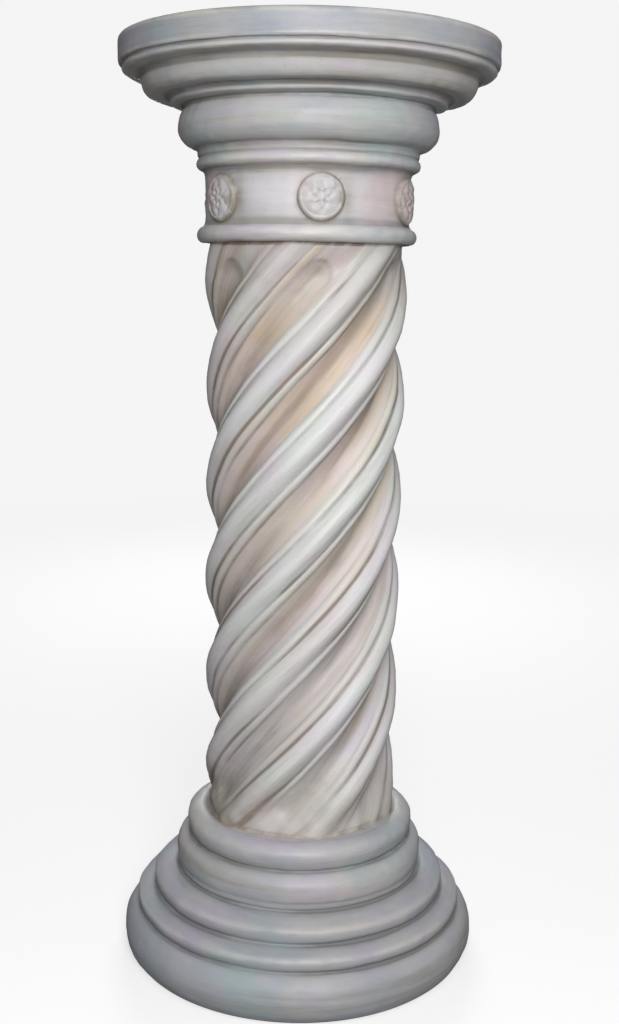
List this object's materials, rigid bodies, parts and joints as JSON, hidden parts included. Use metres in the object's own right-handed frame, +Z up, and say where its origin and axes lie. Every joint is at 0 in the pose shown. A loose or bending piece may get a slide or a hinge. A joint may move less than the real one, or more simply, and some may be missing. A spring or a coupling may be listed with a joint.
{
  "type": "display pedestal",
  "caption": "Round display pedestal cast in one piece: stepped base, twisted fluted shaft, neck band with rosette discs and a moulded round cap with a flat top",
  "frame": {"origin": "centre of the round underside, on the floor", "axes": "+Z up along the column's axis; -Y is the side the picture shows"},
  "size_m": [0.362, 0.362, 0.9],
  "materials": {
    "cast_stone": "satin antique wash over pale cast stone, tan in the flutes"
  },
  "bodies": {
    "root": {"pedestal": "cast_stone"}
  },
  "joints": []
}
